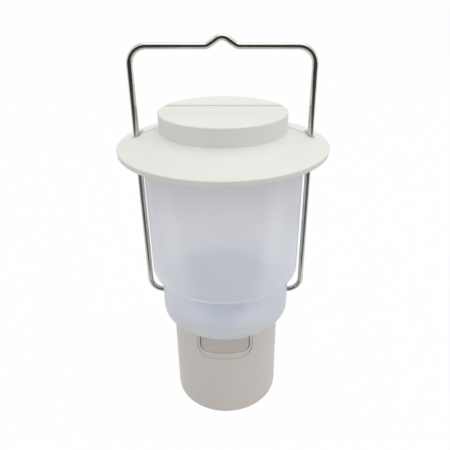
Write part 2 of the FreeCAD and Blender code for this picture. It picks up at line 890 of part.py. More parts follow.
def port_flap():
    inner = d.port_floor + d.flap_gap
    low = d.port_height - d.flap_half_height
    high = d.port_height + d.flap_half_height
    outer = d.base_radius + OVERRUN
    block = box((-d.flap_left, inner, low), (d.flap_right, outer, high))
    plate = common(block, cylinder(d.base_radius - d.flap_inset, high, (0, 0, 0)))
    grip = box(
        (d.flap_right - d.flap_grip_width, inner - OVERRUN, low - OVERRUN),
        (d.flap_right + OVERRUN, inner + d.flap_grip_depth, high + OVERRUN),
    )
    barrel = cylinder(d.flap_barrel_radius, high - low, (-d.flap_hinge_offset, inner, low))
    web = box(
        (-d.flap_hinge_offset, inner, low),
        (-d.flap_left + d.flap_gap, inner + d.flap_web, high),
    )
    bore_radius = d.flap_pin_radius + d.flap_pin_fit
    bore = cylinder(bore_radius, high - low + 2 * OVERRUN, (-d.flap_hinge_offset, inner, low - OVERRUN))
    return part(cut(fused(cut(plate, grip), barrel, web), bore), "port_flap")


# Power button: a curved key with a retaining flange and a stem to the switch


def button_scoop():
    """The ring that hollows the key's face for the thumb, deepest at half height."""
    half = d.button_height / 2
    bow = (half * half + d.button_scoop * d.button_scoop) / (2 * d.button_scoop)
    ring = doc.addObject("Part::Torus", "button_scoop_ring")
    bind(ring, "Radius1", button_face + bow - d.button_scoop)
    bind(ring, "Radius2", bow)
    bind(ring, "Placement.Base.z", button_middle)
    return ring


def power_button():
    low = d.button_bottom
    high = d.button_top
    outside = -(d.base_radius + OVERRUN)
    middle = -d.spigot_radius / 2
    face = front_plate("button_face", d.button_half_width, low, high, outside, middle, d.button_corner)
    key = cut(common(face, tube(button_back, button_face, low, high)), button_scoop())
    flange_outer = base_bore - d.button_flange_gap
    flange_inner = flange_outer - d.button_flange_thickness
    flange_low = low - d.button_flange_lip
    flange_high = d.seat_height - d.base_wall - d.button_flange_headroom
    flange_face = front_plate(
        "button_flange",
        d.button_half_width + d.button_flange_lip,
        flange_low,
        flange_high,
        outside,
        middle,
        d.button_corner + d.button_flange_lip,
    )
    flange = common(flange_face, tube(flange_inner, flange_outer, flange_low, flange_high))
    stem_start = plunger_tip
    stem_length = d.button_stem_length + d.button_thickness / 2
    stem = cylinder(d.button_stem_radius, stem_length, (0, stem_start - stem_length, button_middle), "y")
    return part(fused(key, flange, stem), "power_button")


# Leads: one straight run, a bend and a short run into the board


def lead(points, bend):
    """A round lead along straight runs joined by quarter bends."""
    corners = [FreeCAD.Vector(*[as_size(value).number for value in point]) for point in points]
    radius = as_size(bend).number
    edges = []
    start = corners[0]
    for before, corner, after in zip(corners, corners[1:], corners[2:]):
        into = (corner - before).normalize()
        out = (after - corner).normalize()
        entry = corner - into * radius
        leave = corner + out * radius
        middle = corner + (out - into) * radius * (1 - math.sqrt(0.5))
        edges.append(Part.LineSegment(start, entry).toShape())
        edges.append(Part.Arc(entry, middle, leave).toShape())
        start = leave
    edges.append(Part.LineSegment(start, corners[-1]).toShape())
    path = Part.Wire(edges)
    direction = corners[1] - corners[0]
    section = Part.Wire(Part.makeCircle(d.lead_radius.number, corners[0], direction))
    return path.makePipeShell([section], True, False)


def leads(points, bend, label):
    """A mirrored pair of leads in one node."""
    mirrored = [tuple([-as_size(x), y, z]) for x, y, z in points]
    obj = doc.addObject("Part::Feature", label)
    obj.Shape = Part.Compound([lead(points, bend), lead(mirrored, bend)])
    obj.Placement = FreeCAD.Placement()
    return part(obj, label)


def led_leads():
    x = d.led_lead_spread / 2
    y = lead_plane
    turn_height = d.control_board_top - 2 * d.lead_bend
    route = ((x, y, deck_top), (x, y, turn_height), (x, control_back, turn_height))
    bend = (y - control_back) * 0.6
    return leads(route, bend, "led_leads")


def battery_leads():
    x = d.battery_lead_spread / 2
    tab_front = d.cell_setback - d.cell_radius - d.cell_tab_reach
    height = cell_top + d.cell_link_thickness / 2
    y = lead_plane
    turn_height = d.control_board_top - 3 * d.lead_bend
    route = ((x, tab_front, height), (x, y, height), (x, y, turn_height), (x, control_back, turn_height))
    bend = (y - control_back) * 0.6
    return leads(route, bend, "battery_leads")


# Shade: frosted upper cylinder and lower collar in one moulding, with two bush bosses


def bush_inner_end():
    return d.collar_radius - d.bush_cover - d.bush_length


def diffuser():
    wall = d.shade_wall
    shell = revolved(
        "shade_shell",
        (
            (shade_bore, d.seat_height),
            (d.collar_radius, d.seat_height),
            (d.collar_radius, d.shoulder_height),
            (d.shade_low_radius, d.shoulder_height),
            (d.shade_high_radius, d.shade_top),
            (shade_lip_radius, d.shade_top),
            (shade_lip_radius, shade_lip_bottom),
            (d.shade_high_radius - wall, shade_lip_bottom),
            (d.shade_low_radius - wall, d.shoulder_height + wall),
            (d.collar_radius - wall, d.shoulder_height + wall),
            (d.collar_radius - wall, shade_floor),
            (shade_bore, shade_floor),
        ),
        rounds=(
            ((d.collar_radius, d.seat_height), d.collar_round),
            ((d.collar_radius - wall, shade_floor), d.collar_round - wall),
            ((d.shade_low_radius, d.shoulder_height), d.shoulder_round),
            ((d.shade_low_radius - wall, d.shoulder_height + wall), d.shoulder_round - wall),
            ((d.collar_radius, d.shoulder_height), d.shoulder_crease),
        ),
    )
    added = [shell]
    removed = []
    inner_end = bush_inner_end()
    boss_length = d.collar_radius - wall / 2 - inner_end
    boss_radius = d.bush_radius + d.bush_boss_wall
    hole_radius = d.wire_radius + d.wire_hole_gap
    for side in (-1, 1):
        boss_start = inner_end if side > 0 else -(inner_end + boss_length)
        added.append(cylinder(boss_radius, boss_length, (boss_start, 0, d.pivot_height), "x"))
        bore_start = inner_end - OVERRUN if side > 0 else -(inner_end + d.bush_length)
        removed.append(
            cylinder(d.bush_radius, d.bush_length + OVERRUN, (bore_start, 0, d.pivot_height), "x")
        )
        hole_start = inner_end if side > 0 else -(d.collar_radius + OVERRUN)
        hole_length = d.collar_radius + OVERRUN - inner_end
        removed.append(cylinder(hole_radius, hole_length, (hole_start, 0, d.pivot_height), "x"))
    return part(cut(fused(*added), *removed), "diffuser")


def pivot_bushes():
    bushes = []
    inner_end = bush_inner_end()
    for side in (-1, 1):
        start = inner_end if side > 0 else -(inner_end + d.bush_length)
        sleeve = cylinder(d.bush_radius, d.bush_length, (start, 0, d.pivot_height), "x")
        bore_length = d.bush_length + 2 * OVERRUN
        bore = cylinder(d.wire_radius + d.bush_fit, bore_length, (start - OVERRUN, 0, d.pivot_height), "x")
        bushes.append(cut(sleeve, bore))
    return part(group(bushes), "pivot_bushes")


def collar_seal():
    ring = doc.addObject("Part::Torus", "seal_ring")
    bind(ring, "Radius1", shade_bore - d.collar_seal_section)
    bind(ring, "Radius2", d.collar_seal_section - d.collar_seal_squeeze)
    place(ring, (0, 0, d.seat_height + d.collar_seal_height))
    return part(ring, "collar_seal")


# Light deck: spool that clamps the shade's floor, with the light source on top


def light_deck():
    bore = d.spigot_radius + d.deck_gap
    spool = revolved(
        "deck_spool",
        (
            (bore, shade_floor),
            (bore + d.deck_tube_wall, shade_floor),
            (bore + d.deck_tube_wall, d.spigot_top),
            (d.deck_radius, d.spigot_top),
            (d.deck_radius, deck_top),
            (0, deck_top),
            (0, d.spigot_top),
            (bore, d.spigot_top),
        ),
    )
    low = d.spigot_top - OVERRUN
    high = deck_top + OVERRUN
    holes = [pilot(d.deck_boss_circle, angle, low, high, d.screw_hole_gap) for angle in SCREW_ANGLES]
    lead_hole = cylinder(d.led_lead_hole, high - low, (0, lead_plane, low))
    return part(cut(spool, *holes, lead_hole), "light_deck")


def deck_screws():
    screws = []
    for angle in SCREW_ANGLES:
        x, y = on_circle(d.deck_boss_circle, angle)
        screws.append(upright_screw(d.deck_screw_length, (x, y, deck_top), head_up=True))
    return part(group(screws), "deck_screws")


def led_board():
    return part(cylinder(d.led_board_radius, d.led_board_thickness, (0, 0, deck_top)), "led_board")


def leds():
    half = d.led_side / 2
    low = deck_top + d.led_board_thickness
    chips = []
    for index in range(LED_COUNT):
        x, y = on_circle(d.led_circle, index * 360 / LED_COUNT)
        chips.append(box((x - half, y - half, low), (x + half, y + half, low + d.led_height)))
    return part(group(chips), "leds")


def led_cover():
    top = deck_top + d.led_cover_height
    inner = d.deck_radius - d.led_cover_wall
    dish = revolved(
        "cover_dish",
        (
            (inner, deck_top),
            (d.deck_radius, deck_top),
            (d.deck_radius, top),
            (0, top),
            (0, top - d.led_cover_wall),
            (inner, top - d.led_cover_wall),
        ),
        rounds=(((d.deck_radius, top), d.led_cover_round),),
    )
    return part(dish, "led_cover")


# Hat: seal, reflector, brim and cap held in one stack by three screws from below


def top_seal():
    middle = shade_lip_radius + d.shade_lip_width / 2
    half = d.top_seal_width / 2
    return part(tube(middle - half, middle + half, d.shade_top, hat_seat), "top_seal")


def reflector():
    low = shade_lip_bottom - d.reflector_thickness
    radius = d.shade_high_radius - d.shade_wall - d.reflector_gap
    disc = cylinder(radius, d.reflector_thickness, (0, 0, low))
    added = [disc]
    removed = []
    for angle in SCREW_ANGLES:
        x, y = on_circle(d.top_boss_circle, angle)
        added.append(cylinder(d.top_boss_radius, brim_deck_bottom - low, (x, y, low)))
        removed.append(pilot(d.top_boss_circle, angle, low - OVERRUN, d.cap_top, d.screw_hole_gap))
        sink_radius = d.screw_head_radius + d.screw_hole_gap
        removed.append(cylinder(sink_radius, d.reflector_sink + OVERRUN, (x, y, low - OVERRUN)))
    return part(cut(fused(*added), *removed), "reflector")


def brim_under(radius):
    """The height of the brim's underside, level with its sloping top."""
    slope = (d.cap_seat - d.brim_height) / (d.brim_radius - d.cap_radius)
    return d.brim_height + (d.brim_radius - radius) * slope - d.brim_wall


def brim_line(side):
    """The straight groove that runs from the cap down the brim to a bail hole."""
    turn = math.atan((d.cap_seat - d.brim_height).number / (d.brim_radius - d.cap_radius).number)
    length = (d.bail_half_width - d.cap_radius) / math.cos(turn)
    y = d.brim_line_setback - d.brim_line_width / 2
    line = box((0, y, 0), (length, y + d.brim_line_width, d.brim_line_depth + OVERRUN))
    line.Placement.Rotation = FreeCAD.Rotation(FreeCAD.Vector(0, 1, 0), math.degrees(side * turn))
    start = d.cap_radius if side > 0 else -d.bail_half_width
    drop = 0 * length if side > 0 else length * math.sin(turn)
    bind(line, "Placement.Base.x", start - side * d.brim_line_depth * math.sin(turn))
    bind(line, "Placement.Base.z", d.cap_seat - drop - d.brim_line_depth * math.cos(turn))
    return line


def brim():
    lip_radius = d.brim_radius - d.brim_lip_width
    rim_radius = d.brim_radius - d.brim_edge_draft
    rim_bottom = d.brim_height - d.brim_edge
    plate = revolved(
        "brim_plate",
        (
            (0, d.cap_seat),
            (d.cap_radius, d.cap_seat),
            (d.brim_radius, d.brim_height),
            (rim_radius, rim_bottom),
            (lip_radius, rim_bottom),
            (lip_radius, brim_under(lip_radius)),
            (d.shade_high_radius, brim_under(d.shade_high_radius)),
            (d.shade_high_radius, hat_seat),
            (shade_lip_radius, hat_seat),
            (shade_lip_radius, brim_under(shade_lip_radius)),
            (d.cap_radius, brim_deck_bottom),
            (0, brim_deck_bottom),
        ),
        rounds=(
            ((d.brim_radius, d.brim_height), d.brim_edge_round),
            ((rim_radius, rim_bottom), d.brim_foot_round),
        ),
    )
    removed = []
    low = brim_deck_bottom - OVERRUN
    for angle in SCREW_ANGLES:
        removed.append(pilot(d.top_boss_circle, angle, low, d.cap_seat + OVERRUN, d.screw_hole_gap))
    hole_radius = d.wire_radius + d.brim_hole_side_gap
    front = -(d.wire_radius + d.brim_hole_front_gap)
    half_length = (d.brim_hole_rear - front) / 2 - hole_radius
    middle = (d.brim_hole_rear + front) / 2
    for side in (-1, 1):
        spot = (side * d.bail_half_width, middle, rim_bottom)
        removed.append(stadium(half_length, hole_radius, d.cap_seat - rim_bottom, spot, "z"))
        removed.append(brim_line(side))
    return part(cut(plate, *removed), "brim")


def top_cap():
    inner = d.cap_radius - d.cap_wall
    ceiling = d.cap_top - d.cap_wall
    lid = revolved(
        "cap_lid",
        (
            (inner, d.cap_seat),
            (d.cap_radius, d.cap_seat),
            (d.cap_radius, d.cap_top),
            (0, d.cap_top),
            (0, ceiling),
            (inner, ceiling),
        ),
        rounds=(((d.cap_radius, d.cap_top), d.cap_edge_round),),
    )
    added = [lid]
    removed = []
    screw_end = shade_lip_bottom - d.reflector_thickness + d.reflector_sink + d.top_screw_length
    for angle in SCREW_ANGLES:
        x, y = on_circle(d.top_boss_circle, angle)
        added.append(cylinder(d.top_boss_radius, ceiling + d.cap_wall / 2 - d.cap_seat, (x, y, d.cap_seat)))
        removed.append(
            pilot(d.top_boss_circle, angle, d.cap_seat - OVERRUN, screw_end + d.screw_thread_gap, d.screw_thread_gap)
        )
    half = d.cap_groove_width / 2
    removed.append(
        box(
            (-d.cap_radius - OVERRUN, d.cap_groove_setback - half, d.cap_top - d.cap_groove_depth),
            (d.cap_radius + OVERRUN, d.cap_groove_setback + half, d.cap_top + OVERRUN),
        )
    )
    return part(cut(fused(*added), *removed), "top_cap")


def top_screws():
    seat = shade_lip_bottom - d.reflector_thickness + d.reflector_sink
    screws = []
    for angle in SCREW_ANGLES:
        x, y = on_circle(d.top_boss_circle, angle)
        screws.append(upright_screw(d.top_screw_length, (x, y, seat), head_up=False))
    return part(group(screws), "top_screws")


# Wire bail: one bent wire from tip to tip, with a hanging bump in the middle of the bar


def bent_path(sketch, corners, bends):
    """Straight runs through the corners, joined by tangent arcs of the given radii."""
    points = [FreeCAD.Vector(as_size(x).number, as_size(y).number, 0) for x, y in corners]
    arcs = []
    for before, corner, after, bend in zip(points, points[1:], points[2:], bends):
        into = (corner - before).normalize()
        out = (after - corner).normalize()
        half_turn = into.getAngle(out) / 2
        reach = bend.number * math.tan(half_turn)
        centre_line = (out - into).normalize()
        middle = corner + centre_line * (bend.number / math.cos(half_turn) - bend.number)
        arcs.append((corner - into * reach, middle, corner + out * reach))
    starts = [points[0]] + [arc[2] for arc in arcs]
    ends = [arc[0] for arc in arcs] + [points[-1]]
    for start, end in zip(starts, ends):
        sketch.addGeometry(Part.LineSegment(start, end))
    runs = len(starts)
    for arc in arcs:
        sketch.addGeometry(Part.Arc(*arc))
    for index, bend in enumerate(bends):
        arc = runs + index
        before_end, after_end = arc_ends(sketch, arc, ends[index])
        sketch.addConstraint(Sketcher.Constraint("Tangent", index, 2, arc, before_end))
        sketch.addConstraint(Sketcher.Constraint("Tangent", index + 1, 1, arc, after_end))
        radius = sketch.addConstraint(Sketcher.Constraint("Radius", arc, bend.number))
        sketch.setExpression(f"Constraints[{radius}]", bend.text)
        marker = sketch.addGeometry(Part.Point(points[index + 1]), True)
        pin(sketch, marker, 1, *corners[index + 1])
        sketch.addConstraint(Sketcher.Constraint("PointOnObject", marker, 1, index))
        sketch.addConstraint(Sketcher.Constraint("PointOnObject", marker, 1, index + 1))
    pin(sketch, 0, 1, *corners[0])
    pin(sketch, runs - 1, 2, *corners[-1])


def arc_ends(sketch, arc, entry):
    """Which end of a sketch arc lies at the entry point, and which is the other."""
    start = sketch.getPoint(arc, 1)
    return (1, 2) if (start - entry).Length < TOUCH else (2, 1)


def bail_handle():
    tip = bush_inner_end() - d.bail_tip_inset
    side = d.bail_half_width
    bar = d.bail_bar_height
    right_half = (
        (tip, d.pivot_height),
        (side, d.pivot_height),
        (side, bar),
        (d.bail_bump_half, bar),
    )
    left_half = tuple([(-x, z) for x, z in reversed(right_half)])
    crown = ((0, bar + d.bail_bump_rise),)
    bends = [d.bail_foot_bend, d.bail_corner_bend, d.bail_bump_bend]
    body = doc.addObject("PartDesign::Body", "bail_wire")
    path = body.newObject("Sketcher::SketchObject", "bail_path")
    attach(path, body, "XZ_Plane")
    bent_path(path, right_half + crown + left_half, bends + [d.bail_bump_bend] + bends[::-1])
    section = body.newObject("Sketcher::SketchObject", "bail_section")
    attach(section, body, "YZ_Plane")
    bind(section, "AttachmentOffset.Base.z", tip)
    centre = FreeCAD.Vector(0, d.pivot_height.number, 0)
    section.addGeometry(Part.Circle(centre, FreeCAD.Vector(0, 0, 1), d.wire_radius.number))
    pin(section, 0, 3, 0, d.pivot_height)
    radius = section.addConstraint(Sketcher.Constraint("Radius", 0, d.wire_radius.number))
    section.setExpression(f"Constraints[{radius}]", d.wire_radius.text)
    doc.recompute()
    pipe = body.newObject("PartDesign::AdditivePipe", "bail_pipe")
    pipe.Profile = section
    pipe.Spine = path
    body.Tip = pipe
    return part(body, "bail_handle")


base_housing()
base_cover()
cover_screws()
foot_pad()
battery_cells()
battery_cradle()
cell_link()
cell_tabs()
battery_pad()
board_screws()
control_board()
tact_switch()
switch_plunger()
charge_board()
charge_socket()
flap_pin()
port_flap()
power_button()
led_leads()
battery_leads()
diffuser()
pivot_bushes()
collar_seal()
light_deck()
deck_screws()
led_board()
leds()
led_cover()
top_seal()
reflector()
brim()
top_cap()
top_screws()
bail_handle()
doc.recompute()

for obj in doc.Objects:
    if "Invalid" in obj.State or "Error" in obj.State:
        raise RuntimeError(f"{obj.Name} failed: {obj.State}")
for obj in parts:
    if obj.Shape.isNull() or not obj.Shape.isValid():
        raise RuntimeError(f"{obj.Label} has no valid shape")

os.makedirs("parts", exist_ok=True)
for obj in parts:
    obj.Shape.exportStep(f"parts/{obj.Label}.step")
    print(f"{obj.Label}: {len(obj.Shape.Solids)} solids, {obj.Shape.Volume:.1f} mm3")
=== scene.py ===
import math

import bmesh
import bpy
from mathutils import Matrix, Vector


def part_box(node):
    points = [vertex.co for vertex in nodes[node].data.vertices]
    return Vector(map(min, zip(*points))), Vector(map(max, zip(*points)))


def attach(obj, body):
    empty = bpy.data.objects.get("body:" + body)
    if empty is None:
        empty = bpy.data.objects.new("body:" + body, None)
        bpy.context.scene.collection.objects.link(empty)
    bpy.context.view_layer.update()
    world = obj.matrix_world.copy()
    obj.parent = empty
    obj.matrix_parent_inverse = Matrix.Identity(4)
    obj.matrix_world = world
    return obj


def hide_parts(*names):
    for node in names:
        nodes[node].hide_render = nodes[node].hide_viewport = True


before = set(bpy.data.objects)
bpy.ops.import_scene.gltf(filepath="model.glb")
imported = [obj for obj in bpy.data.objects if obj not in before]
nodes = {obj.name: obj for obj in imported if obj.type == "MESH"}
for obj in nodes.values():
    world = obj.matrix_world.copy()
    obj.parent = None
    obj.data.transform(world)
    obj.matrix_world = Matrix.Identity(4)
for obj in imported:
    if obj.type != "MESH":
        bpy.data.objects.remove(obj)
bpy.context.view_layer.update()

# Foot: a black rubber disc set into a recess of the bottom cover, so that the lantern doesn't slide.
# It is moulded with round grip grooves and hides the screws of the bottom cover.


class Socket:
    """A value on a shader's wires; arithmetic on it adds Math nodes."""

    def __init__(self, wiring, socket):
        self.wiring = wiring
        self.socket = socket

    def math(self, operation, first, second):
        return self.wiring.node("ShaderNodeMath", {"operation": operation}, {0: first, 1: second})

    def __add__(self, other):
        return self.math("ADD", self, other)

    def __radd__(self, other):
        return self.math("ADD", other, self)

    def __sub__(self, other):
        return self.math("SUBTRACT", self, other)

    def __rsub__(self, other):
        return self.math("SUBTRACT", other, self)

    def __mul__(self, other):
        return self.math("MULTIPLY", self, other)

    def __rmul__(self, other):
        return self.math("MULTIPLY", other, self)


# The colour sockets of a Mix node, and the range in which nearly all of a noise lies
MIX_FIRST = 6
MIX_SECOND = 7
MIX_COLOUR = 2
NOISE_LOW = 0.3
NOISE_HIGH = 0.7


class Wiring:
    """The nodes of one material or of the world."""

    def __init__(self, holder):
        holder.use_nodes = True
        self.tree = holder.node_tree
        self.tree.nodes.clear()

    def node(self, kind, settings, inputs, output=0):
        """A node of any type: its settings first, then the values or links of its sockets."""
        made = self.tree.nodes.new(kind)
        for name, value in settings.items():
            if name == "stops":
                fill_ramp(made.color_ramp, value)
            else:
                setattr(made, name, value)
        for name, value in inputs.items():
            if isinstance(value, Socket):
                self.tree.links.new(value.socket, made.inputs[name])
            else:
                made.inputs[name].default_value = value
        return Socket(self, made.outputs[output]) if made.outputs else None

    def place(self):
        """The place on the surface, in the piece's own coordinates."""
        return self.node("ShaderNodeTexCoord", {}, {}, "Object")

    def along(self, axis):
        """The place's own coordinate along X, Y or Z, in metres."""
        return self.node("ShaderNodeSeparateXYZ", {}, {"Vector": self.place()}, axis)

    def seen(self):
        """1 for rays that show the background: straight to the camera, in a mirror or through glass."""
        share = 0.0
        for kind in ("Is Camera Ray", "Is Glossy Ray", "Is Transmission Ray"):
            share = self.node("ShaderNodeLightPath", {}, {}, kind) + share
        return self.node("ShaderNodeClamp", {}, {"Value": share})

    def noise(self, scale, detail=3.0, stretch=None):
        """Noise of a scale, drawn out along the axes where stretch says so."""
        where = self.place()
        if stretch is not None:
            where = self.node("ShaderNodeMapping", {}, {"Vector": where, "Scale": stretch})
        return self.node(
            "ShaderNodeTexNoise",
            {"noise_dimensions": "3D"},
            {"Vector": where, "Scale": scale, "Detail": detail},
        )

    def between(self, share, low, high):
        """A colour between two fixed ones, by a share from 0 to 1."""
        return self.node(
            "ShaderNodeMix",
            {"data_type": "RGBA"},
            {"Factor": share, MIX_FIRST: (*low, 1.0), MIX_SECOND: (*high, 1.0)},
            MIX_COLOUR,
        )

    def span(self, value, low, high, start=0.0, end=1.0):
        """A value mapped from one range to another, held at the ends."""
        return self.node(
            "ShaderNodeMapRange",
            {"clamp": True},
            {"Value": value, "From Min": low, "From Max": high, "To Min": start, "To Max": end},
        )

    def spread(self, noise, start=0.0, end=1.0):
        """A noise mapped to another range."""
        return self.span(noise, NOISE_LOW, NOISE_HIGH, start, end)

    def bump(self, height, depth):
        """A normal that follows a height, with the depth in metres."""
        return self.node("ShaderNodeBump", {}, {"Height": height, "Distance": depth, "Strength": 1.0})


class Finish(Wiring):
    """One material: a Principled shader whose fixed values are set here and whose varying ones are fed."""

    def __init__(self, name, **fixed):
        self.material = bpy.data.materials.new(name)
        super().__init__(self.material)
        self.shader = self.tree.nodes.new("ShaderNodeBsdfPrincipled")
        self.output = self.tree.nodes.new("ShaderNodeOutputMaterial")
        self.surface = Socket(self, self.shader.outputs[0])
        self.show(self.surface)
        for socket, value in fixed.items():
            self.shader.inputs[socket.replace("_", " ")].default_value = value

    def show(self, surface):
        """Make a shader the one that is seen."""
        self.tree.links.new(surface.socket, self.output.inputs["Surface"])

    def feed(self, **links):
        """Link varying values to the shader's sockets."""
        for name, value in links.items():
            self.tree.links.new(value.socket, self.shader.inputs[name.replace("_", " ")])


def fill_ramp(ramp, stops):
    """A colour ramp with one stop for each (place, colour)."""
    while len(ramp.elements) < len(stops):
        ramp.elements.new(1.0)
    for element, (place, colour) in zip(ramp.elements, stops):
        element.position = place
        element.color = (*colour, 1.0)


SHARP_ANGLE = 50


def shaded(mesh_maker, name, finish, body, *replaced):
    """Turn a finished bmesh into a smooth-shaded piece that rides on a body and stands for CAD nodes."""
    mesh = bpy.data.meshes.new(name)
    bmesh.ops.recalc_face_normals(mesh_maker, faces=mesh_maker.faces)
    mesh_maker.to_mesh(mesh)
    mesh_maker.free()
    for face in mesh.polygons:
        face.use_smooth = True
    piece = bpy.data.objects.new(name, mesh)
    bpy.context.scene.collection.objects.link(piece)
    mesh.materials.append(finish.material)
    mesh.set_sharp_from_angle(angle=math.radians(SHARP_ANGLE))
    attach(piece, body)
    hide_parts(*replaced)
    return piece


def rounded(corners, steps):
    """An outline of (radius, height, rounding) corners with each corner turned into an arc."""
    points = []
    count = len(corners)
    for index, (radius, height, rounding) in enumerate(corners):
        here = Vector((radius, height))
        if rounding == 0:
            points.append(here)
            continue
        before = Vector(corners[index - 1][:2])
        after = Vector(corners[(index + 1) % count][:2])
        into = (here - before).normalized()
        out = (after - here).normalized()
        half_turn = into.angle(out) / 2
        reach = rounding * math.tan(half_turn)
        start = here - into * reach
        end = here + out * reach
        centre = here + (out - into).normalized() * (rounding / math.cos(half_turn))
        for step in range(steps + 1):
            share = step / steps
            spoke = (start - centre).lerp(end - centre, share).normalized() * rounding
            points.append(centre + spoke)
    return points


ON_AXIS = 1e-7


def turned(outline, segments):
    """A closed surface turned about the lantern's axis from a closed outline."""
    maker = bmesh.new()
    rings = []
    for radius, height in outline:
        if radius < ON_AXIS:
            rings.append([maker.verts.new((0, 0, height))])
            continue
        ring = []
        for index in range(segments):
            turn = 2 * math.pi * index / segments
            ring.append(maker.verts.new((radius * math.cos(turn), radius * math.sin(turn), height)))
        rings.append(ring)
    for lower, upper in zip(rings, rings[1:] + rings[:1]):
        for index in range(segments):
            after = (index + 1) % segments
            corners = []
            for ring, place in ((lower, index), (lower, after), (upper, after), (upper, index)):
                corner = ring[place % len(ring)]
                if corner not in corners:
                    corners.append(corner)
            if len(corners) > 2:
                maker.faces.new(corners)
    return maker


foot_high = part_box("foot_pad")[1]
FOOT_RADIUS = foot_high.x
FOOT_TOP = foot_high.z
FOOT_CHAMFER = 0.0006
FOOT_CHAMFER_ROUND = 0.0003
FOOT_MARGIN = 0.003
FOOT_GROOVES = 5
FOOT_GROOVE_DEPTH = 0.0007
FOOT_GROOVE_WIDTH = 0.0012
FOOT_GROOVE_ROUND = 0.0002
FOOT_INNER_GROOVE = 0.009
FOOT_ARC_STEPS = 3
FOOT_SEGMENTS = 144
RUBBER_BLACK = (0.018, 0.018, 0.018)
RUBBER_DUSTY = (0.06, 0.058, 0.055)
RUBBER_GRAIN = 2600.0
RUBBER_GRAIN_DEPTH = 0.00006
RUBBER_DUST = 60.0
RUBBER_DUST_START = 0.45
RUBBER_DUST_FULL = 0.75
RUBBER_SMOOTH = 0.72
RUBBER_ROUGH = 0.88

foot_outline = [(0.0, FOOT_TOP, 0), (0.0, 0.0, 0)]
foot_pitch = (FOOT_RADIUS - FOOT_MARGIN - FOOT_INNER_GROOVE) / (FOOT_GROOVES - 1)
for groove in range(FOOT_GROOVES):
    middle = FOOT_INNER_GROOVE + groove * foot_pitch
    foot_outline += [
        (middle - FOOT_GROOVE_WIDTH, 0.0, FOOT_GROOVE_ROUND),
        (middle - FOOT_GROOVE_WIDTH / 2, FOOT_GROOVE_DEPTH, FOOT_GROOVE_ROUND),
        (middle + FOOT_GROOVE_WIDTH / 2, FOOT_GROOVE_DEPTH, FOOT_GROOVE_ROUND),
        (middle + FOOT_GROOVE_WIDTH, 0.0, FOOT_GROOVE_ROUND),
    ]
foot_outline += [
    (FOOT_RADIUS - FOOT_CHAMFER, 0.0, FOOT_CHAMFER_ROUND),
    (FOOT_RADIUS, FOOT_CHAMFER, FOOT_CHAMFER_ROUND),
    (FOOT_RADIUS, FOOT_TOP, 0),
]

rubber = Finish("foot_rubber", IOR=1.5)
rubber_grain = rubber.noise(RUBBER_GRAIN, detail=4.0)
rubber_dust = rubber.noise(RUBBER_DUST, detail=5.0)
dust_share = rubber.span(rubber_dust, RUBBER_DUST_START, RUBBER_DUST_FULL)
rubber.feed(
    Base_Color=rubber.between(dust_share, RUBBER_BLACK, RUBBER_DUSTY),
    Roughness=rubber.spread(rubber_dust, RUBBER_SMOOTH, RUBBER_ROUGH),
    Normal=rubber.bump(rubber_grain, RUBBER_GRAIN_DEPTH),
)
foot_shape = turned(rounded(foot_outline, FOOT_ARC_STEPS), FOOT_SEGMENTS)
foot = shaded(foot_shape, "foot_disc", rubber, "lantern", "foot_pad")

# Bottom cover and screws: a grey moulded plate that closes the base from below, held by plated screws.
# The foot hides the screws, and the edge of the plate shows around it from below.
# The same plating is on the other screws and on the pin of the flap.


def srgb(red, green, blue):
    """A colour as it is read on a screen, from 0 to 255, made linear."""
    channels = []
    for value in (red, green, blue):
        share = value / 255
        channels.append(share / 12.92 if share <= 0.04045 else ((share + 0.055) / 1.055) ** 2.4)
    return tuple(channels)


def dress(finish, *names):
    """Give CAD nodes a finish."""
    for name in names:
        slots = nodes[name].data.materials
        slots.clear()
        slots.append(finish.material)


CLOUD_SHARE = 0.8
SPECK_SHARE = 0.2
SPECK_TO_GRAIN = 0.6
MOULDED_SMOOTHER = 0.05
MOULDED_ROUGHER = 0.07


def moulded(name, pale, deep, roughness=0.5, grain=1500.0, grain_depth=0.00004, patch=35.0):
    """Injection-moulded plastic: a fine spark-eroded grain, slightly cloudy colour and gloss."""
    finish = Finish(name)
    cloud = finish.noise(patch, detail=4.0)
    speck = finish.noise(grain * SPECK_TO_GRAIN, detail=2.0)
    shade = finish.spread(cloud * CLOUD_SHARE + speck * SPECK_SHARE)
    finish.feed(
        Base_Color=finish.between(shade, deep, pale),
        Roughness=finish.spread(cloud, roughness - MOULDED_SMOOTHER, roughness + MOULDED_ROUGHER),
        Normal=finish.bump(finish.noise(grain), grain_depth),
    )
    return finish


STREAKS = 900.0
STREAK_DEPTH = 0.00001
HAZE = 120.0
PLATED_SMOOTHER = 0.06
PLATED_ROUGHER = 0.08


def plated(name, pale, deep, roughness=0.28, stretch=(1.0, 1.0, 8.0)):
    """Plated or drawn metal with fine streaks."""
    finish = Finish(name, Metallic=1.0)
    streaks = finish.noise(STREAKS, detail=4.0, stretch=stretch)
    haze = finish.noise(HAZE)
    finish.feed(
        Base_Color=finish.between(finish.spread(haze), deep, pale),
        Roughness=finish.spread(streaks, roughness - PLATED_SMOOTHER, roughness + PLATED_ROUGHER),
        Normal=finish.bump(streaks, STREAK_DEPTH),
    )
    return finish


BASE_PALE = srgb(221, 215, 209)
BASE_DEEP = srgb(216, 209, 203)
ZINC_PALE = (0.62, 0.62, 0.60)
ZINC_DEEP = (0.48, 0.48, 0.47)

base_grey = moulded("base_grey", BASE_PALE, BASE_DEEP, roughness=0.46)
zinc = plated("zinc_plate", ZINC_PALE, ZINC_DEEP)
dress(base_grey, "base_cover")
dress(zinc, "cover_screws", "board_screws", "deck_screws", "top_screws", "flap_pin")

# Battery: two blue-wrapped cells in a black nylon cradle, with nickel strips at their ends.
# A foam pad under the bulkhead holds them down, and insulated leads run to the control board.
# They fill the base and are closed in by the housing.

